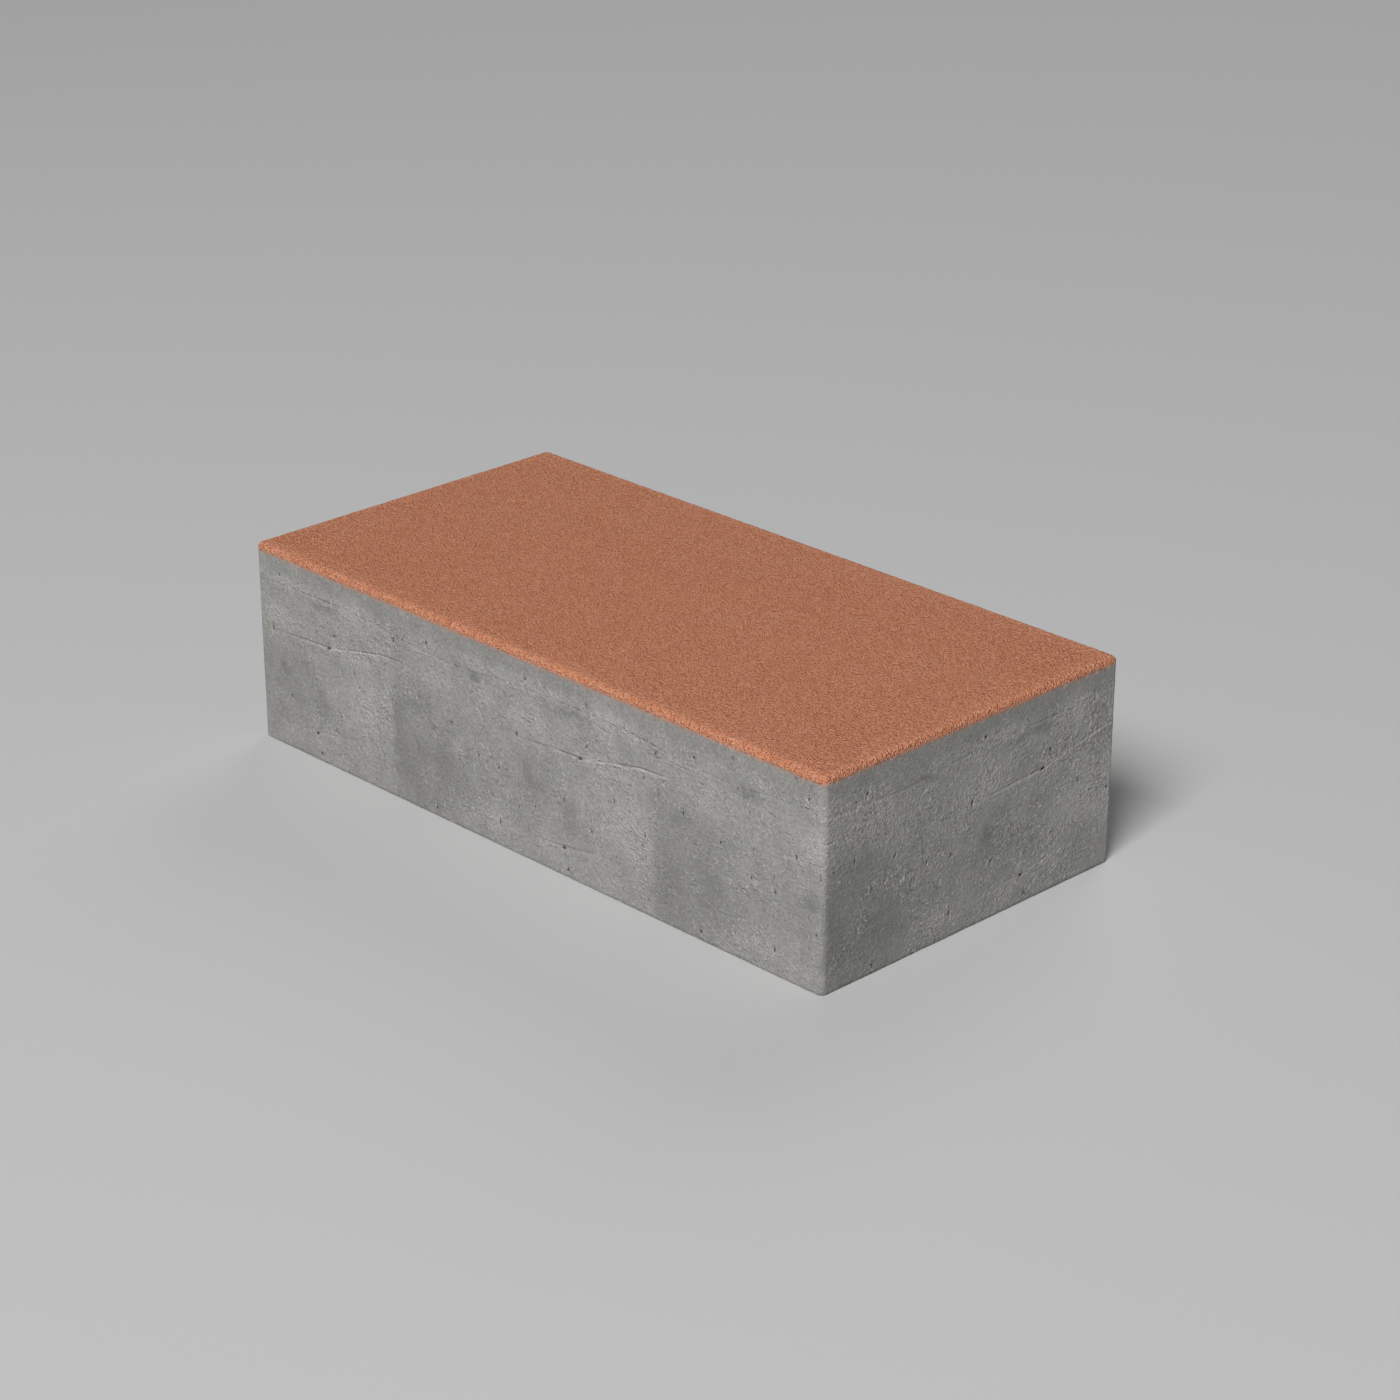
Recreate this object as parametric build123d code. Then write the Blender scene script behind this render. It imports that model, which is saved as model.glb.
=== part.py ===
from build123d import *
import os

# Two-layer concrete paving stone, rectangular format, in millimetres.
# The stone is vibro-pressed in one mould from two mixes of concrete: a grey base mix that carries the load,
# and over it a thin pigmented face mix that is walked on. The mould rounds the four upright corners, and the
# stamp that presses the top rounds the top edge all the way round, both alike. The foot is left square.
# Origin at the middle of the bed face, +X along the length, +Y across, +Z up to the walked-on face.

# Size of the stone itself, which is laid on a 300 x 150 grid with a sand joint around it
LENGTH = 298.0
WIDTH = 148.0
HEIGHT = 80.0

# Depth of the pigmented face mix, measured down from the top
FACE_DEPTH = 3.1

# Radius that the mould leaves at the upright corners and the stamp along the top edge
ROUNDING = 2.5

PARTS_FOLDER = "parts"


def pressed_stone():
    """The whole stone as it leaves the mould: a block on its bed, every edge rounded but those of the foot."""
    block = Box(LENGTH, WIDTH, HEIGHT, align=(Align.CENTER, Align.CENTER, Align.MIN))
    rounded_edges = block.edges().filter_by(lambda edge: edge.center().Z > 0)
    return fillet(rounded_edges, ROUNDING)


def two_mixes(stone):
    """The stone parted at the level where the face mix was spread on the base mix: (base, face)."""
    mix_joint = Plane.XY.offset(HEIGHT - FACE_DEPTH)
    base = split(stone, bisect_by=mix_joint, keep=Keep.BOTTOM)
    face = split(stone, bisect_by=mix_joint, keep=Keep.TOP)
    return base, face


base_block, face_layer = two_mixes(pressed_stone())

os.makedirs(PARTS_FOLDER, exist_ok=True)
export_step(base_block, os.path.join(PARTS_FOLDER, "base_block.step"))
export_step(face_layer, os.path.join(PARTS_FOLDER, "face_layer.step"))
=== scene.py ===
import itertools

import bpy
import numpy as np
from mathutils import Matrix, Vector


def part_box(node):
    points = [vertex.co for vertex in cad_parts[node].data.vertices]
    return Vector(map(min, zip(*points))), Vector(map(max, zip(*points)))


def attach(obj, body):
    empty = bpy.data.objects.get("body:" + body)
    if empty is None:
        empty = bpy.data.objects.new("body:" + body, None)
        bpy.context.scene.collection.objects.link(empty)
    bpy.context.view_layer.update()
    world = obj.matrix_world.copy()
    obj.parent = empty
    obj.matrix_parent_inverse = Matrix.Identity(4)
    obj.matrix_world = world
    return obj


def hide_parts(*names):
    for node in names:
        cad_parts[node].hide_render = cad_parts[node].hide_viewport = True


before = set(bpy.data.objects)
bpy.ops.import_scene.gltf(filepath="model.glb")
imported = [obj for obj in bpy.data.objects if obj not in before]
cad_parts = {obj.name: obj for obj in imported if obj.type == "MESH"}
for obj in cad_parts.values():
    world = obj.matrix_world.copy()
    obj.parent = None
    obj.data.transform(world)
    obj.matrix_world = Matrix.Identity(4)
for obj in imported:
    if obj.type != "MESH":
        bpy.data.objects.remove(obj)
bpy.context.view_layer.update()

# The base block is the grey body of the stone, of lean concrete with sand and crushed rock. It is pressed
# and shaken in a steel mould, so its sides are flat, but trapped air leaves pores in them, and the mould
# leaves drag lines, pale bloom and damp patches. The same mould liner shows on every side, over and over.
MM = 0.001
base_low, base_high = np.array(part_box("base_block")) / MM
LENGTH, WIDTH, SEAM_HEIGHT = base_high - base_low
HEIGHT = np.array(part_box("face_layer"))[1, 2] / MM
ROUNDING = 2.5
LONG_STEPS = 424
SHORT_STEPS = 212

# The plan is a core rectangle with a border of the corners' radius. Over the top edge that border is
# longer, because it goes round the edge and down to the seam. Its steps give the columns of both layers.
core = np.array([LENGTH, WIDTH]) / 2 - ROUNDING
quarter_arc = ROUNDING * np.pi / 2
border = quarter_arc + HEIGHT - SEAM_HEIGHT - ROUNDING
side_lengths = 2 * core[[0, 1, 0, 1]]
side_steps = np.array([LONG_STEPS, SHORT_STEPS, LONG_STEPS, SHORT_STEPS])
side_ends = np.cumsum(side_lengths + quarter_arc)
side_starts = side_ends - side_lengths - quarter_arc
girth = side_ends[-1]


def outline(distance):
    """Points and outward directions in plan, at distances round the stone from the front side's left end.

    Each side is a straight run and then a quarter circle, so a point is the side's first corner centre,
    plus the run along the side, plus the radius times the outward direction turned by the angle gone round.
    """
    side = np.searchsorted(side_starts, distance % girth, side="right") - 1
    gone = distance % girth - side_starts[side]
    run = np.minimum(gone, side_lengths[side])
    turn = (gone - run) / ROUNDING
    heading = side * np.pi / 2
    along = np.stack([np.cos(heading), np.sin(heading)], -1)
    across = np.stack([np.sin(heading), -np.cos(heading)], -1)
    signs = np.array([(-1, -1), (1, -1), (1, 1), (-1, 1)])[side]
    outward = across * np.cos(turn)[..., None] + along * np.sin(turn)[..., None]
    return signs * core + along * run[..., None] + ROUNDING * outward, outward


def column_distances():
    """Distance round the stone of each column: even steps along each side's core, and within the border
    that reaches past the core on either hand, the angle whose tangent is the step's share of the border."""
    columns = []
    for side in range(4):
        reach = side_lengths[side] / 2
        step = np.linspace(-1, 1, side_steps[side] + 1)[:-1] * (reach + border)
        inside = np.clip(step, -reach, reach)
        angle = np.arctan2(step - inside, border)
        columns.append(side_starts[side] + reach + inside + ROUNDING * angle)
    return np.concatenate(columns)


# Large odd numbers and shifts that scramble the bits of a count, and the gain that brings noise to about 1
COUNT_FACTORS = (73856093, 19349663, 83492791)
SEED_FACTOR = 2654435761
SCRAMBLES = ((15, 2246822519), (13, 3266489917))
LOW_BITS = 0xFFFFFFFF
NOISE_GAIN = 1.5


def lattice_noise(points, cell, seed):
    """Smooth noise of about -1 to 1: space is cut in cubes of the cell's size, each cube corner gets a
    slope from a hash of its three counts, and the eight ramps round a point are blended with a quintic
    ease."""
    place = points / cell
    count = np.floor(place).astype(np.int64)
    part = place - count
    ease = part**3 * (part * (part * 6 - 15) + 10)
    total = 0
    for corner in itertools.product((0, 1), repeat=3):
        mixed = ((count + corner) * COUNT_FACTORS).sum(-1) + seed * SEED_FACTOR
        ramp = 0
        for axis in range(3):
            for shift, factor in SCRAMBLES:
                mixed = (mixed ^ (mixed >> shift)) * factor & LOW_BITS
            ramp = ramp + (mixed / (LOW_BITS >> 1) - 1) * (part - corner)[..., axis]
        total = total + ramp * np.where(corner, ease, 1 - ease).prod(-1)
    return total * NOISE_GAIN


def smooth_step(low, high, value):
    """Eased ramp from 0 at low to 1 at high: the share of the way squared, times 3 less twice the share."""
    share = np.clip((value - low) / (high - low), 0, 1)
    return share * share * (3 - 2 * share)


# The liner's pattern: places along its length and below the top, then sizes, in millimetres
PATTERN = 138.0
# Pores: along, below the top, width, height, depth
PORES = [
    (11.6, 32.8, 1.1, 2.0, 0.8),
    (17.0, 10.0, 1.0, 1.2, 0.5),
    (45.0, 31.6, 2.6, 1.0, 0.6),
    (48.4, 25.6, 0.9, 1.0, 0.4),
    (77.6, 50.0, 0.7, 1.0, 0.4),
    (83.0, 17.0, 0.8, 1.0, 0.4),
    (96.4, 35.0, 0.7, 2.0, 0.5),
    (101.6, 12.4, 1.1, 1.2, 0.5),
    (105.0, 76.6, 1.0, 1.2, 0.5),
    (114.4, 39.6, 1.0, 1.1, 0.5),
    (36.0, 69.0, 2.4, 1.0, 0.5),
    (38.0, 77.0, 0.8, 1.0, 0.4),
    (2.0, 70.6, 0.9, 1.6, 0.6),
    (21.2, 58.0, 0.9, 1.0, 0.4),
    (2.2, 49.0, 0.8, 1.0, 0.4),
    (50.6, 57.8, 0.9, 1.0, 0.4),
    (62.4, 42.2, 0.8, 0.8, 0.3),
    (129.0, 47.6, 0.8, 1.0, 0.4),
]
# Soft patches: along, reach to the left, reach to the right, below the top, reach up and down, and how
# much paler (above zero) or darker (below)
PATCHES = [
    (61.0, 7.0, 5.0, 13.0, 8.0, 1.0),
    (19.0, 9.0, 8.0, 27.0, 6.0, 0.8),
    (25.0, 16.0, 16.0, 11.5, 2.5, 0.5),
    (40.0, 12.0, 8.0, 16.0, 1.6, -1.0),
    (46.0, 2.5, 2.5, 15.3, 2.0, -0.5),
    (127.0, 14.0, 9.0, 16.8, 1.8, -0.7),
    (127.5, 2.4, 2.4, 16.5, 2.0, -1.3),
    (56.0, 9.0, 10.0, 30.6, 2.4, 1.3),
    (69.0, 16.0, 9.0, 49.0, 10.0, 1.0),
    (84.0, 2.5, 40.0, 62.0, 28.0, -1.0),
    (90.0, 5.0, 6.0, 66.0, 7.0, -0.5),
    (110.0, 5.0, 7.0, 60.0, 12.0, -0.6),
    (97.0, 12.0, 14.0, 38.0, 4.0, -0.5),
    (18.6, 2.6, 2.6, 47.0, 3.2, -1.3),
    (40.0, 4.0, 3.5, 56.0, 6.0, -0.7),
    (22.0, 18.0, 16.0, 50.0, 14.0, -0.4),
    (30.0, 14.0, 16.0, 71.0, 4.0, 0.4),
    (134.0, 12.0, 14.0, 71.0, 4.0, 0.5),
    (108.0, 9.0, 14.0, 24.0, 6.0, 0.5),
]
# Spots where the skin broke into grit: along, below the top, reach along, reach up and down, and how coarse
GRIT_SPOTS = [
    (19.0, 13.0, 12.0, 2.5, 0.5),
    (33.0, 48.5, 4.0, 3.0, 1.0),
    (38.0, 58.0, 2.5, 2.5, 0.8),
    (49.5, 58.5, 3.0, 2.5, 0.9),
    (60.0, 28.5, 14.0, 4.0, 0.8),
    (73.0, 49.0, 8.0, 7.0, 0.9),
    (64.0, 14.0, 14.0, 3.0, 0.5),
    (88.0, 16.0, 12.0, 3.0, 0.6),
    (123.0, 53.0, 6.0, 4.0, 0.7),
    (106.5, 47.4, 4.0, 3.0, 0.8),
    (102.0, 59.5, 3.0, 3.0, 0.7),
    (92.0, 66.4, 4.0, 2.5, 0.6),
    (108.0, 25.0, 12.0, 5.0, 0.5),
    (20.0, 27.0, 9.0, 4.0, 0.6),
    (130.0, 72.0, 9.0, 5.0, 0.4),
]
# Drag lines: the places that each passes, as along, below the top, and how strong its groove and its lip
# are there. The groove is let in and painted dark as its shadow, the lip raised and painted pale as its
# highlight
LINES = [
    [
        (4.0, 34.0, 0.0, 0.1), (19.0, 32.8, 0.3, 0.1), (33.0, 31.8, 0.8, 0.3), (45.0, 31.1, 0.8, 0.4),
        (50.0, 30.3, 0.6, 1.2), (61.5, 27.7, 0.8, 1.2), (75.0, 25.0, 0.8, 0.8), (82.0, 24.5, 0.8, 0.3),
        (92.0, 24.1, 0.0, 0.0),
    ],
    [
        (0.0, 14.6, 0.4, 0.05), (20.0, 13.4, 0.2, 0.1), (50.0, 12.9, 0.6, 0.05), (75.0, 13.6, 0.4, 0.1),
        (95.0, 16.0, 0.1, 0.2), (116.0, 16.4, 0.3, 0.15), (127.0, 16.0, 0.4, 0.0), (138.0, 14.6, 0.4, 0.05),
    ],
    [(13.0, 70.4, 0.0, 0.0), (36.0, 68.2, 0.4, 0.1), (47.0, 66.6, 0.3, 0.2), (62.0, 64.2, 0.0, 0.0)],
]
# How each side carries the pattern: its length there, and where its start falls from the side's left end
SIDE_PATTERNS = [(138.4, -3.2), (150.0, 60.4), (138.4, 71.0), (150.0, 22.0)]
REPEATS = range(-3, 4)
EDGE_KEPT = 2.0


def carried(along, margin):
    """Distances round the stone at which a place of the pattern comes, on every side and every repeat, that
    lie within the side by the margin, and the stretch of the pattern there."""
    found = []
    for side, (repeat, shift) in enumerate(SIDE_PATTERNS):
        whole = side_lengths[side] + 2 * ROUNDING
        for number in REPEATS:
            place = along * repeat / PATTERN + shift + number * repeat
            if margin < place < whole - margin:
                found.append((side_starts[side] + place - ROUNDING, repeat / PATTERN))
    return found


def round_gap(distance, place):
    """Signed shortest way round the stone from a place to each distance."""
    return (distance - place + girth / 2) % girth - girth / 2


def drawn_in(gap, reach, power):
    """Factors that draw gaps towards zero: within the reach, the share of the reach raised to the power
    less one, so that the gap itself goes by the power. Beyond the reach, one."""
    share = np.clip(np.abs(gap) / reach, 1e-6, 1)
    return np.where(np.abs(gap) < reach, share ** (power - 1), 1)


# The sides as a grid of columns round the stone and rows up it, drawn in towards the pores, so that it is
# finest where they are let into the surface
ROWS = 66
ARRIS = 0.35
PORE_REACH = 5.0
PORE_POWER = 2.5
PORE_CLEAR = 1.5
columns = column_distances()
heights = np.concatenate([[0.0], np.linspace(ARRIS, SEAM_HEIGHT, ROWS)])
around, up = np.meshgrid(columns, heights)

pores = []
for along, below, width, height, depth in PORES:
    for place, _ in carried(along, EDGE_KEPT):
        pores.append((place, HEIGHT - below, width / 2, height / 2, depth))
pore_places = np.array([pore[:2] for pore in pores])
for number, (place, level, *_) in enumerate(pores):
    aside = round_gap(around, place)
    above = up - level
    spacing = np.hypot(round_gap(pore_places[:, 0], place), pore_places[:, 1] - level)
    spacing[number] = np.inf
    reach = min(PORE_REACH, level - ARRIS, SEAM_HEIGHT - level - PORE_CLEAR, spacing.min() - PORE_CLEAR)
    pull = drawn_in(np.hypot(aside, above), reach, PORE_POWER)
    around = around + aside * (pull - 1)
    up = up + above * (pull - 1)

plan, outward = outline(around)
wall = np.concatenate([plan, up[..., None]], -1)

# Tone of patches, with a painted highlight on the upright corners, how coarse the skin is, how far into a
# pore a point is, for the painted shade there, how far off a drag line is and how strong, and how far the
# surface is let in. Pale bloom is coarse, a smooth, darker band lies under the seam, and the upright
# corners are rubbed smoother and painted paler, a painted highlight on their rounding.
SMOOTH_BAND = HEIGHT - np.array([12.0, 8.0])
BAND_TONE = -0.45
PATCH_BLUR = 2.5
BLUR_CELL = 5.0
GRIT_ALL_OVER = 0.25
GRIT_IN_BLOOM = 0.25
GRIT_BROAD, BROAD_CELL = 0.5, 21.0
GRIT_CLOSE, CLOSE_CELL = 0.4, 8.0
GRIT_AT_PORES = 0.4
GRIT_ROUND_PORES = 2.4
PORE_RIM = (0.35, 1.15)
END_GRIT = 0.7
CORNER_REACH = 4.0
CORNER_RUB = 0.5
# How much paler the upright corners are painted: a painted highlight on their rounding
CORNER_HIGHLIGHT = 0.4
END_LIPS = 1.0
LINE_REACH = 3.0
LINE_FADING = 1.2
LIP_DROP = 0.85
stain_and_highlight = np.zeros_like(up)
pore_shade = np.zeros_like(up)
sunk = np.zeros_like(up)
blurred_around = around + PATCH_BLUR * lattice_noise(wall, BLUR_CELL, 16)
blurred_up = up + PATCH_BLUR * lattice_noise(wall, BLUR_CELL, 17)
for along, left, right, below, tall, strength in PATCHES:
    for place, stretch in carried(along, 0.0):
        aside = round_gap(blurred_around, place)
        wide = np.where(aside < 0, left, right) * stretch
        stain_and_highlight += strength * np.exp(-((aside / wide) ** 2) - ((blurred_up - HEIGHT + below) / tall) ** 2)
coarse = (
    GRIT_ALL_OVER + GRIT_IN_BLOOM * stain_and_highlight
    + GRIT_BROAD * lattice_noise(wall, BROAD_CELL, 10) + GRIT_CLOSE * lattice_noise(wall, CLOSE_CELL, 5)
)
for along, below, wide, tall, strength in GRIT_SPOTS:
    for place, stretch in carried(along, 0.0):
        aside = round_gap(blurred_around, place) / (wide * stretch)
        coarse += strength * np.exp(-(aside**2) - ((blurred_up - HEIGHT + below) / tall) ** 2)
in_band = 1 - smooth_step(SMOOTH_BAND[1], SMOOTH_BAND[0], up)
coarse = np.clip(coarse, 0, None) * (1 - in_band) * (1 + END_GRIT * outward[..., 0] ** 2)
corner_gap = np.min([np.abs(round_gap(around, end - quarter_arc / 2)) for end in side_ends], 0)
corner_rub_and_highlight = np.exp(-((corner_gap / CORNER_REACH) ** 2))
coarse *= 1 - CORNER_RUB * corner_rub_and_highlight
# Painted highlight: the tone is raised on the upright corners, where their rounding catches the light
stain_and_highlight += BAND_TONE * in_band + CORNER_HIGHLIGHT * corner_rub_and_highlight
line_gap = np.full_like(up, LINE_REACH)
groove_and_shadow = np.zeros_like(up)
lip_and_highlight = np.zeros_like(up)
for path, (side, (repeat, shift)), number in itertools.product(LINES, enumerate(SIDE_PATTERNS), REPEATS):
    places, belows, grooves, lips = np.array(path).T
    side_middle = side_starts[side] + side_lengths[side] / 2
    gone = side_middle + round_gap(around, side_middle) - side_starts[side] + ROUNDING
    whole = side_lengths[side] + 2 * ROUNDING
    place = (gone - shift - number * repeat) * PATTERN / repeat
    gap = up - HEIGHT + np.interp(place, places, belows)
    fade = smooth_step(0, LINE_FADING, np.minimum(gone, whole - gone))
    fade *= smooth_step(0, LINE_FADING, np.minimum(place - places[0], places[-1] - place))
    near = (np.abs(gap) < LINE_REACH) & (fade > 0)
    line_gap = np.where(near, gap, line_gap)
    groove_and_shadow = np.where(near, np.interp(place, places, grooves) * fade, groove_and_shadow)
    fade = fade * (1 + END_LIPS * outward[..., 0] ** 2)
    lip_and_highlight = np.where(near, np.interp(place, places, lips) * fade, lip_and_highlight)
# Pores: each cup is let in, and its inside is marked so that the material paints it dark as shade
for place, level, half_width, half_height, depth in pores:
    aside = round_gap(around, place)
    away = np.hypot(aside / half_width, (up - level) / half_height)
    cup = 1 - smooth_step(*PORE_RIM, away)
    sunk += depth * cup
    pore_shade = np.maximum(pore_shade, cup)
    coarse += GRIT_AT_PORES * np.exp(-(aside**2 + (up - level) ** 2) / GRIT_ROUND_PORES**2)

# Unevenness of the pressed sides, and the worn foot. Everything lies on or inside the mould's face.
KEPT_IN = 0.24
ROUGH, ROUGH_CELL = 0.05, 2.2
BUMPY, BUMPY_CELL = 0.6, 5.0
WAVY, WAVY_CELL = 0.06, 26.0
FOOT_WEAR, FOOT_CELL = 0.2, 7.0
FOOT_DRAWN_UP = (1, 1, 0.3)
FOOT_REACH = 2.5
rough = lattice_noise(wall, ROUGH_CELL, 1) + BUMPY * lattice_noise(wall, BUMPY_CELL, 2)
wavy = lattice_noise(wall, WAVY_CELL, 3)
foot_wear = FOOT_WEAR * np.maximum(lattice_noise(wall * FOOT_DRAWN_UP, FOOT_CELL, 4), 0)
sunk += KEPT_IN + ROUGH * rough + WAVY * wavy
sunk += foot_wear * (1 - smooth_step(0, FOOT_REACH, up)) + ARRIS * (up < ARRIS / 2)
RAGGED = 0.26
RAGGED_CELLS = (5.0, 2.4)
RAGGED_REACH = 4.0
seam_shift = RAGGED * (lattice_noise(wall, RAGGED_CELLS[0], 6) + lattice_noise(wall, RAGGED_CELLS[1], 7))
wall[..., :2] -= outward * np.maximum(sunk, 0)[..., None]
wall[..., 2] += seam_shift * smooth_step(SEAM_HEIGHT - RAGGED_REACH, SEAM_HEIGHT, up)
seam_ring = wall[-1]

# Red slurry that ran down the mould's side from the face mix
BLEED_REACH = 1.6
BLEED_MEAN, BLEED_SPREAD, BLEED_CELL = 0.6, 0.6, 2.4
bleed = smooth_step(SEAM_HEIGHT - BLEED_REACH, SEAM_HEIGHT, up)
bleed = bleed * (BLEED_MEAN + BLEED_SPREAD * lattice_noise(wall, BLEED_CELL, 14))

# Bed and seam: each is a coarser grid within the ring that it closes, joined to the ring by triangles
COARSE = 4
CAP_INSET = 2.0


def rounded_plan(across_steps, deep_steps, border):
    """Grid over the rounded plan: a point past the core is moved to the core's edge, and from there by the
    larger of its two overhangs along their common direction, so square rings turn into rounded ones.
    Returns the points on the core, the direction out of it and the overhang."""
    x = np.linspace(-1, 1, across_steps + 1) * (core[0] + border)
    y = np.linspace(-1, 1, deep_steps + 1) * (core[1] + border)
    place = np.stack(np.meshgrid(x, y), -1)
    inside = np.clip(place, -core, core)
    over = place - inside
    overhang = np.abs(over).max(-1)
    direction = over / np.maximum(np.hypot(over[..., 0], over[..., 1]), 1e-9)[..., None]
    return inside, direction, overhang


def rim(grid):
    """The border of a grid of indices, once round from its first corner, against the clock seen from +Z."""
    return np.concatenate([grid[0, :-1], grid[:-1, -1], grid[-1, :0:-1], grid[:0:-1, 0]])


def cells(grid):
    """Four-sided faces between the rows and columns of a grid of indices or of other values."""
    corners = [grid[:-1, :-1], grid[:-1, 1:], grid[1:, 1:], grid[1:, :-1]]
    return np.stack(corners, 2).reshape(-1, 4, *grid.shape[2:])


def cap(ring_indices, first_index, faces_up):
    """Closes a ring with a grid of a coarse step: each step of its rim meets that many steps of the ring,
    the first half of them joined to the step's start, the rest to its end. Returns plan points, quads and
    triangles."""
    inside, direction, overhang = rounded_plan(
        LONG_STEPS // COARSE, SHORT_STEPS // COARSE, ROUNDING - CAP_INSET
    )
    plan = inside + direction * overhang[..., None]
    grid = first_index + np.arange(overhang.size).reshape(overhang.shape)
    quads = cells(grid)
    inner = rim(grid)
    outer = np.append(ring_indices, ring_indices[0])
    inner_next = np.roll(inner, -1)
    starts = np.arange(len(inner)) * COARSE
    triangles = [np.stack([inner, outer[starts + COARSE // 2], inner_next], -1)]
    for step in range(COARSE):
        held = inner if step < COARSE // 2 else inner_next
        triangles.append(np.stack([outer[starts + step], outer[starts + step + 1], held], -1))
    triangles = np.concatenate(triangles)
    if not faces_up:
        quads = quads[:, ::-1]
        triangles = triangles[:, ::-1]
    return plan.reshape(-1, 2), quads, triangles


SHARP_FROM = np.radians(75)


def stone_piece(name, points, faces, places, attributes):
    """A mesh object, smooth but for right-angled edges, from points in millimetres, faces, their places on
    the map that looks are kept in, and a value for each point under each attribute's name."""
    mesh = bpy.data.meshes.new(name)
    corner_lists = [corner for group in faces for corner in group.tolist()]
    mesh.from_pydata((points * MM).tolist(), [], corner_lists)
    uv = mesh.uv_layers.new(name="OFBake")
    uv.data.foreach_set("uv", np.concatenate([group.ravel() for group in places]).astype(np.float32))
    for attribute, values in attributes.items():
        layer = mesh.attributes.new(attribute, "FLOAT", "POINT")
        layer.data.foreach_set("value", values.astype(np.float32))
    mesh.shade_smooth()
    mesh.set_sharp_from_angle(angle=SHARP_FROM)
    mesh.update()
    piece = bpy.data.objects.new(name, mesh)
    bpy.context.scene.collection.objects.link(piece)
    return piece


BED_ROUGH = 0.35
BED_CELLS = (7.0, 17.0)
BED_GRIT = 0.6
rows, count = up.shape
wall_index = np.arange(rows * count).reshape(rows, count)
bed_first = rows * count
bed_plan, bed_quads, bed_triangles = cap(wall_index[0], bed_first, False)
seam_first = bed_first + len(bed_plan)
seam_plan, seam_quads, seam_triangles = cap(wall_index[-1], seam_first, True)
bed = np.column_stack([bed_plan, np.zeros(len(bed_plan))])
bed_noise = lattice_noise(bed, BED_CELLS[0], 8) + lattice_noise(bed, BED_CELLS[1], 9)
bed[:, 2] = BED_ROUGH * np.clip(bed_noise, 0, 1)
seam_level = np.column_stack([seam_plan, np.full(len(seam_plan), SEAM_HEIGHT)])
base_points = np.concatenate([wall.reshape(-1, 3), bed, seam_level])
wall_quads = cells(np.column_stack([wall_index, wall_index[:, :1]]))

# Map of the looks: the sides in four strips one over the other, the bed beside them, the seam small
MAP_SIZE = 312.0
STRIPS = 4
STRIP_GAP = 1.2
BED_SHARE = 0.5
SEAM_SHARE = 0.2
flat_around = np.column_stack([around, around[:, :1] + girth])
flat_up = np.column_stack([up, up[:, :1]])
flat = cells(np.stack([flat_around, flat_up], -1))
strip = np.tile(np.arange(count) * STRIPS // count, rows - 1)
strip_starts = np.array([columns[count * number // STRIPS] for number in range(STRIPS)])
flat[..., 0] += STRIP_GAP - strip_starts[strip][:, None]
flat[..., 1] += STRIP_GAP + strip[:, None] * (SEAM_HEIGHT + STRIP_GAP)
strip_width = girth / STRIPS + 3 * STRIP_GAP


def cap_places(faces, share, corner):
    """Places of a cap's faces on the map: their plan, turned to stand upright, at a share of full size."""
    return (base_points[faces][..., 1::-1] + (WIDTH / 2, LENGTH / 2)) * share + corner


bed_corner = (strip_width, STRIP_GAP)
seam_corner = (strip_width, LENGTH * BED_SHARE + 2 * STRIP_GAP)
base_faces = [wall_quads, bed_quads, seam_quads, bed_triangles, seam_triangles]
base_places = [
    flat / MAP_SIZE,
    cap_places(bed_quads, BED_SHARE, bed_corner) / MAP_SIZE,
    cap_places(seam_quads, SEAM_SHARE, seam_corner) / MAP_SIZE,
    cap_places(bed_triangles, BED_SHARE, bed_corner) / MAP_SIZE,
    cap_places(seam_triangles, SEAM_SHARE, seam_corner) / MAP_SIZE,
]
plain = np.zeros(len(bed) + len(seam_level))
base_attributes = {
    "stain_and_highlight": np.concatenate([stain_and_highlight.ravel(), plain]),
    "pore_shade": np.concatenate([pore_shade.ravel(), plain]),
    "coarse": np.concatenate([coarse.ravel(), plain + BED_GRIT]),
    "bleed": np.concatenate([bleed.ravel(), plain]),
    "line_gap": np.concatenate([line_gap.ravel(), plain]),
    "groove_and_shadow": np.concatenate([groove_and_shadow.ravel(), plain]),
    "lip_and_highlight": np.concatenate([lip_and_highlight.ravel(), plain]),
}
base_block = stone_piece("base_block_concrete", base_points, base_faces, base_places, base_attributes)


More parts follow.
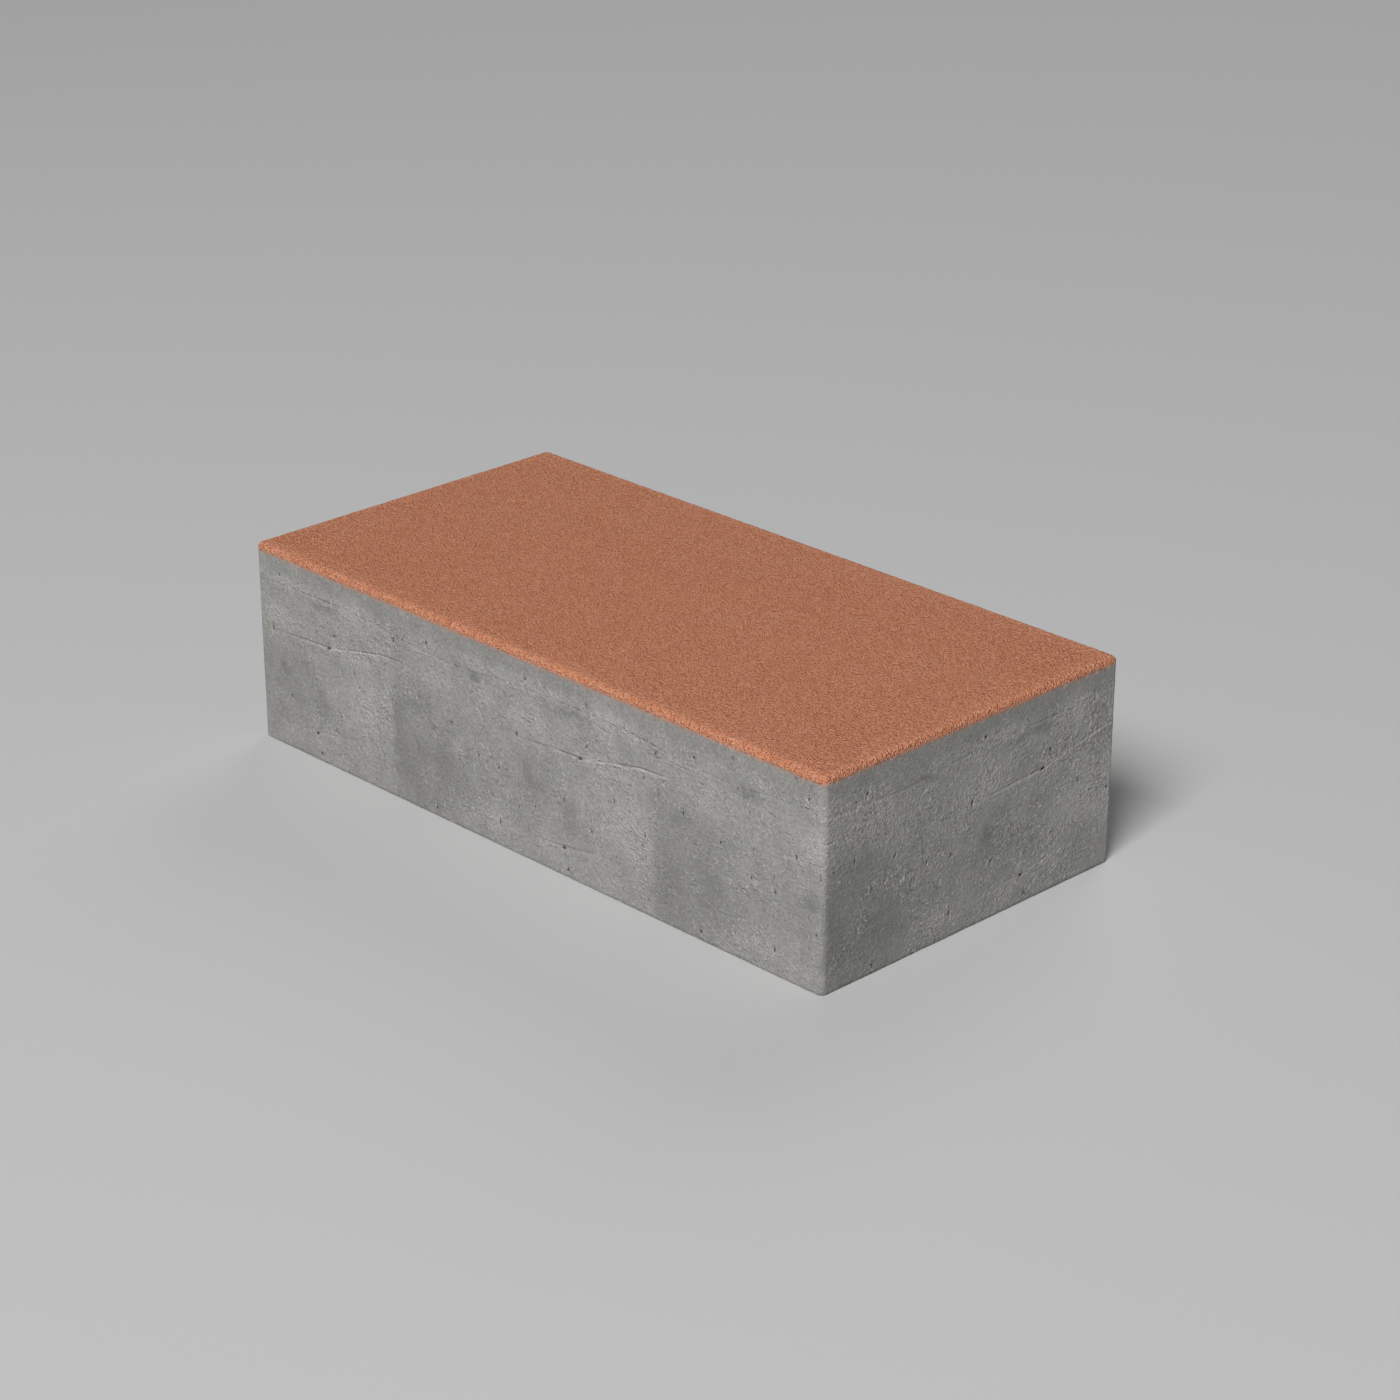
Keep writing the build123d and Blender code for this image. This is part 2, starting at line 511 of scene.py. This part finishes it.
class Signal:
    """A socket of a material's nodes. Sums and products of signals and numbers add Math nodes."""

    def __init__(self, tree, socket=None):
        self.tree = tree
        self.socket = socket

    def node(self, kind, settings=(), sockets=(), output=0):
        """Adds a node: its settings are set first, then each socket gets a value or a link from a
        signal."""
        made = self.tree.nodes.new(kind)
        for name, value in dict(settings).items():
            setattr(made, name, value)
        for name, value in dict(sockets).items():
            if isinstance(value, Signal):
                self.tree.links.new(value.socket, made.inputs[name])
            else:
                made.inputs[name].default_value = value
        return Signal(self.tree, made.outputs[output] if len(made.outputs) else None)

    def math(self, operation, first, second):
        return self.node("ShaderNodeMath", {"operation": operation}, {0: first, 1: second})

    def __add__(self, other):
        return self.math("ADD", self, other)

    def __radd__(self, other):
        return self.math("ADD", other, self)

    def __sub__(self, other):
        return self.math("SUBTRACT", self, other)

    def __rsub__(self, other):
        return self.math("SUBTRACT", other, self)

    def __mul__(self, other):
        return self.math("MULTIPLY", self, other)

    def __rmul__(self, other):
        return self.math("MULTIPLY", other, self)

    def __abs__(self):
        return self.math("ABSOLUTE", self, 0.0)

    def drawn_out(self, factors):
        """Coordinates times a factor on each axis, so that a pattern over them is narrower by it."""
        return self.node("ShaderNodeVectorMath", {"operation": "MULTIPLY"}, {0: self, 1: factors})

    def noise(self, size, detail, roughness=0.5):
        """Noise of features of a size in millimetres, about 0.5, over the piece's own coordinates."""
        sockets = {"Vector": self, "Scale": 1 / size / MM, "Detail": detail, "Roughness": roughness}
        return self.node("ShaderNodeTexNoise", {}, sockets)

    def ramp(self, low, high):
        """Share of the way from low to high, held between 0 and 1, with eased ends."""
        sockets = {"Value": self, "From Min": low, "From Max": high}
        return self.node("ShaderNodeMapRange", {"interpolation_type": "SMOOTHSTEP"}, sockets)

    def blend(self, first, second):
        """Colour between two colours, by this signal."""
        return self.node("ShaderNodeMix", {"data_type": "RGBA"}, {0: self, 6: first, 7: second}, output=2)


def material(name):
    """An empty material, and the signal of its piece's own coordinates."""
    made = bpy.data.materials.new(name)
    made.use_nodes = True
    made.node_tree.nodes.clear()
    return made, Signal(made.node_tree).node("ShaderNodeTexCoord", output="Object")


def concrete_surface(signal, colour, roughness, height, specular):
    """The material's output: a matt surface of that colour and roughness, with bump of a height in
    millimetres."""
    normal = signal.node("ShaderNodeBump", {}, {"Strength": 1.0, "Distance": MM, "Height": height})
    sockets = {
        "Base Color": colour, "Roughness": roughness, "Normal": normal, "Specular IOR Level": specular,
    }
    shader = signal.node("ShaderNodeBsdfPrincipled", {}, sockets)
    signal.node("ShaderNodeOutputMaterial", {}, {"Surface": shader})


def named_value(signal, name):
    """The value that the mesh keeps at each point under a name."""
    return signal.node("ShaderNodeAttribute", {"attribute_name": name}, output="Fac")


# Grey concrete: pale and dark cement in clouds and mottles, with sand, creases and pinholes all over,
# the pinholes painted dark as shade. Streaks, grit, pale crumbs and nicks show where the skin is coarse,
# the nicks painted dark as their shade. Drag lines have a groove painted dark as its shadow over a lip
# painted pale as its highlight, pores are painted dark as shade, and red slurry lies under the seam.
DARK_CEMENT = (0.225, 0.222, 0.214, 1)
PALE_CEMENT = (0.512, 0.503, 0.478, 1)
PORE_SHADE = (0.060, 0.058, 0.054, 1)
SLURRY_RED = (0.520, 0.230, 0.145, 1)
DRAWN_OUT = (1.0, 1.0, 1.15)
NICKED = (0.45, 0.45, 1.4)
BASE_SPECULAR = 0.25
BASE_TONE = 0.396
SLURRY_SHARE = 0.6
ROUGHEST = 0.95
base_concrete, place = material("base_concrete")
clouds = place.noise(38.0, 2) - 0.5
mottle = place.noise(9.0, 2, 0.4) - 0.5
streaks = place.drawn_out(DRAWN_OUT).noise(2.8, 2) - 0.5
grit = place.drawn_out(DRAWN_OUT).noise(1.35, 3, 0.65) - 0.5
sand = place.noise(0.75, 1) - 0.5
creases = 1 - abs(place.noise(5.0, 2) - 0.5).ramp(0.0, 0.045)
wrinkles = creases * place.noise(7.0, 1).ramp(0.46, 0.60)
crumbs = place.noise(1.3, 0).ramp(0.64, 0.80)
# Pinholes are small holes, let in and painted dark as shade
pinholes = place.noise(2.4, 0).ramp(0.78, 0.88)
# Nicks are small dents, let in and painted dark as their shade
nicks = place.drawn_out(NICKED).noise(1.3, 1).ramp(0.64, 0.76)
bite = 0.25 + 0.85 * named_value(place, "coarse")
broken = place.noise(7.0, 1).ramp(0.30, 0.50)
line_gap = named_value(place, "line_gap")
# Painted shadow: the drag line's groove is darkened in the tone as well as let in
groove_and_shadow = named_value(place, "groove_and_shadow") * (1 - abs(line_gap).ramp(0.05, 0.40)) * broken
ragged_lip = place.noise(2.4, 2).ramp(0.30, 0.60)
# Painted highlight: the drag line's lip is made paler in the tone as well as raised
lip_and_highlight = named_value(place, "lip_and_highlight") * (1 - abs(line_gap + LIP_DROP).ramp(0.15, 1.15)) * ragged_lip
tone = (
    BASE_TONE + 0.05 * clouds + 0.30 * mottle
    # the nicks' term is painted shade in the dents
    + (0.10 + 0.25 * streaks + 0.55 * grit + 0.50 * crumbs - 0.22 * nicks) * bite
    # the pinholes' term is painted shade in the holes
    + 0.62 * sand - 0.30 * pinholes + 0.08 * wrinkles + 0.185 * named_value(place, "stain_and_highlight")
    # painted highlight on the drag lines' lip, painted shadow in their groove
    + 0.70 * lip_and_highlight - 0.42 * groove_and_shadow
)
cement = tone.ramp(0.0, 1.0).blend(DARK_CEMENT, PALE_CEMENT)
reddened = (SLURRY_SHARE * named_value(place, "bleed")).blend(cement, SLURRY_RED)
# Painted shade: the inside of each pore is painted near black
colour = named_value(place, "pore_shade").ramp(0.15, 0.8).blend(reddened, PORE_SHADE)
relief = (
    (0.40 * streaks + 0.80 * grit + 0.30 * sand + 0.20 * crumbs + 0.20 * wrinkles - 0.22 * nicks) * bite
    - 0.20 * pinholes + 0.35 * lip_and_highlight - 0.30 * groove_and_shadow
)
concrete_surface(place, colour, ROUGHEST - 0.15 * tone, relief, BASE_SPECULAR)
base_block.data.materials.append(base_concrete)
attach(base_block, "root")
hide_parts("base_block")

# The face layer is a thin skin of fine sand, cement and iron oxide, spread on the base mix and pressed with
# it. The stamp rounds its edge, and cement film comes away from the sand, so the top is grained like
# sandpaper.
inside, direction, overhang = rounded_plan(LONG_STEPS, SHORT_STEPS, border)
turn = np.clip(overhang / ROUNDING, 0, np.pi / 2)
reach = ROUNDING * np.sin(turn)
drop = ROUNDING * (1 - np.cos(turn)) + np.maximum(overhang - quarter_arc, 0)
skin = np.concatenate([inside + direction * reach[..., None], (HEIGHT - drop)[..., None]], -1)
skin_outward = np.concatenate([direction * np.sin(turn)[..., None], np.cos(turn)[..., None]], -1)

# Grain of the pressed sand, let in from the stamp's face: coarse and fine grains, and slow waves. The edge
# is rubbed smoother.
COARSE_GRAIN, COARSE_CELL = 0.07, 3.1
FINE_GRAIN, FINE_CELL = 0.12, 1.9
SLOW_WAVE, SLOW_CELL = 0.04, 30.0
GRAIN_KEPT_IN = 0.24
RUB_REACH = 2.5
RUB = 0.15
# How near the top edge a point is: the grain is smoothed there, and the material paints that edge paler as
# a highlight
rubbed_and_highlit = np.exp((np.abs(inside) - core).max(-1) / RUB_REACH)
grain = COARSE_GRAIN * lattice_noise(skin, COARSE_CELL, 11)
grain = grain + FINE_GRAIN * lattice_noise(skin, FINE_CELL, 12)
grain *= 1 - RUB * rubbed_and_highlit
pressed = np.maximum(GRAIN_KEPT_IN - grain - SLOW_WAVE * lattice_noise(skin, SLOW_CELL, 13), 0)
skin = skin - skin_outward * pressed[..., None]
skin_index = np.arange(overhang.size).reshape(overhang.shape)
skin_rim = rim(skin_index)
skin_points = skin.reshape(-1, 3)
skin_points[skin_rim] = seam_ring
under_plan, under_quads, under_triangles = cap(skin_rim, len(skin_points), False)
under = np.column_stack([under_plan, np.full(len(under_plan), SEAM_HEIGHT)])
face_points = np.concatenate([skin_points, under])
skin_quads = cells(skin_index)

# Map of the looks: the top unrolled over its edge, the underside small
UNDER_SHARE = 0.2
unrolled = cells(inside + direction * overhang[..., None] + core + border)
under_corner = (0, 2 * (core[1] + border) + STRIP_GAP)


def under_places(faces):
    """Places of the underside's faces on the map, past the top's."""
    return (face_points[faces][..., :2] + core + border) * UNDER_SHARE + under_corner


face_faces = [skin_quads, under_quads, under_triangles]
face_places = [
    unrolled / MAP_SIZE,
    under_places(under_quads) / MAP_SIZE,
    under_places(under_triangles) / MAP_SIZE,
]
lean = smooth_step(border - BLEED_REACH, border, overhang)
lean = lean * (BLEED_MEAN + BLEED_SPREAD * lattice_noise(skin, BLEED_CELL, 15))
hidden = np.zeros(len(under))
face_attributes = {
    "grain": np.concatenate([(grain / (COARSE_GRAIN + FINE_GRAIN)).ravel(), hidden]),
    "bleed": np.concatenate([lean.ravel(), hidden]),
    "rubbed_and_highlit": np.concatenate([rubbed_and_highlit.ravel(), hidden]),
}
face_layer = stone_piece("face_layer_concrete", face_points, face_faces, face_places, face_attributes)

# Terracotta concrete: the oxide is even, the pits between the sand grains are darker and the tops worn
# paler, the rubbed top edge is painted a little paler as a highlight on its rounding, and the lowest edge
# is thinned by the grey mix
PIT_RED = (0.537, 0.143, 0.051, 1)
WORN_RED = (0.815, 0.398, 0.251, 1)
THINNED_RED = (0.490, 0.320, 0.250, 1)
FACE_SPECULAR = 0.25
FACE_TONE = 0.5
THINNED_SHARE = 0.6
face_concrete, place = material("face_concrete")
tint = place.noise(30.0, 3) - 0.5
sand = place.noise(1.1, 1) - 0.5
dust = place.noise(0.6, 0) - 0.5
rubbed_and_highlit = named_value(place, "rubbed_and_highlit")
grained = 1 - RUB * rubbed_and_highlit
# The rubbed edge's term in this tone is a painted highlight along the rounded top edge
tone = (
    FACE_TONE + 0.08 * tint + 0.12 * named_value(place, "grain")
    + (0.80 * sand + 1.40 * dust) * grained + 0.05 * rubbed_and_highlit
)
oxide = tone.ramp(0.0, 1.0).blend(PIT_RED, WORN_RED)
colour = (THINNED_SHARE * named_value(place, "bleed")).blend(oxide, THINNED_RED)
relief = (1.1 * sand + 1.25 * dust) * grained
concrete_surface(place, colour, ROUGHEST - 0.10 * tone, relief, FACE_SPECULAR)
face_layer.data.materials.append(face_concrete)
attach(face_layer, "root")
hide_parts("face_layer")

# The studio floor is one wide sheet of pale matt board that the stone lies on.
FLOOR_SIZE = 12.0
FLOOR_GREY = (0.60, 0.60, 0.60, 1)
FLOOR_ROUGHNESS = 0.9
floor_edge = np.array([-0.5, 0.5]) * FLOOR_SIZE
floor_x, floor_y = np.meshgrid(floor_edge, floor_edge)
floor_points = np.stack([floor_x, floor_y, np.zeros_like(floor_x)], -1).reshape(-1, 3)
floor_mesh = bpy.data.meshes.new("studio_floor")
floor_mesh.from_pydata(floor_points.tolist(), [], cells(np.arange(4).reshape(2, 2)).tolist())
studio_floor = bpy.data.objects.new("studio_floor", floor_mesh)
bpy.context.scene.collection.objects.link(studio_floor)
board, place = material("studio_board")
sockets = {"Base Color": FLOOR_GREY, "Roughness": FLOOR_ROUGHNESS}
shader = place.node("ShaderNodeBsdfPrincipled", {}, sockets)
place.node("ShaderNodeOutputMaterial", {}, {"Surface": shader})
floor_mesh.materials.append(board)


# The studio light is one large soft box in front, a little to the left of the camera, a weaker one behind,
# and an even grey room.
def direction_from(azimuth, elevation):
    """Unit vector from the stone at an azimuth, counted from the front towards the right end, and an
    elevation, both in degrees. In plan it is the azimuth's sine and cosine times the elevation's cosine,
    and in height the elevation's sine."""
    azimuth, elevation = np.radians([azimuth, elevation])
    flat = np.cos(elevation)
    return Vector((np.sin(azimuth) * flat, -np.cos(azimuth) * flat, np.sin(elevation)))


def soft_box(name, azimuth, elevation, distance, size, power):
    """A square area light that looks at the stone from a direction and a distance in metres."""
    light = bpy.data.lights.new(name, "AREA")
    light.shape = "SQUARE"
    light.size = size
    light.energy = power
    lamp = bpy.data.objects.new(name, light)
    toward = direction_from(azimuth, elevation)
    lamp.location = toward * distance
    lamp.rotation_euler = toward.to_track_quat("Z", "Y").to_euler()
    bpy.context.scene.collection.objects.link(lamp)


soft_box("key_box", azimuth=25.0, elevation=46.0, distance=5.0, size=1.8, power=222.0)
soft_box("back_box", azimuth=205.0, elevation=35.0, distance=5.0, size=2.5, power=43.0)
ROOM_GREY = (0.07, 0.07, 0.07, 1)
room = bpy.data.worlds.new("studio_room")
room.use_nodes = True
room.node_tree.nodes["Background"].inputs["Color"].default_value = ROOM_GREY
bpy.context.scene.world = room
bpy.context.scene.view_settings.view_transform = "Standard"

# The camera stands where the photograph was taken from, fitted to the stone's outline.
CAMERA_AZIMUTH = 45.776
CAMERA_ELEVATION = 23.536
CAMERA_DISTANCE = 1.29762
CAMERA_TARGET = Vector((0.01501, 0.00036, 0.04311))
FOCAL_LENGTH = 91.73
SENSOR_WIDTH = 36.0
camera_data = bpy.data.cameras.new("camera")
camera_data.lens = FOCAL_LENGTH
camera_data.sensor_width = SENSOR_WIDTH
camera = bpy.data.objects.new("camera", camera_data)
backward = direction_from(CAMERA_AZIMUTH, CAMERA_ELEVATION)
camera.location = CAMERA_TARGET + backward * CAMERA_DISTANCE
camera.rotation_euler = backward.to_track_quat("Z", "Y").to_euler()
bpy.context.scene.collection.objects.link(camera)
bpy.context.scene.camera = camera
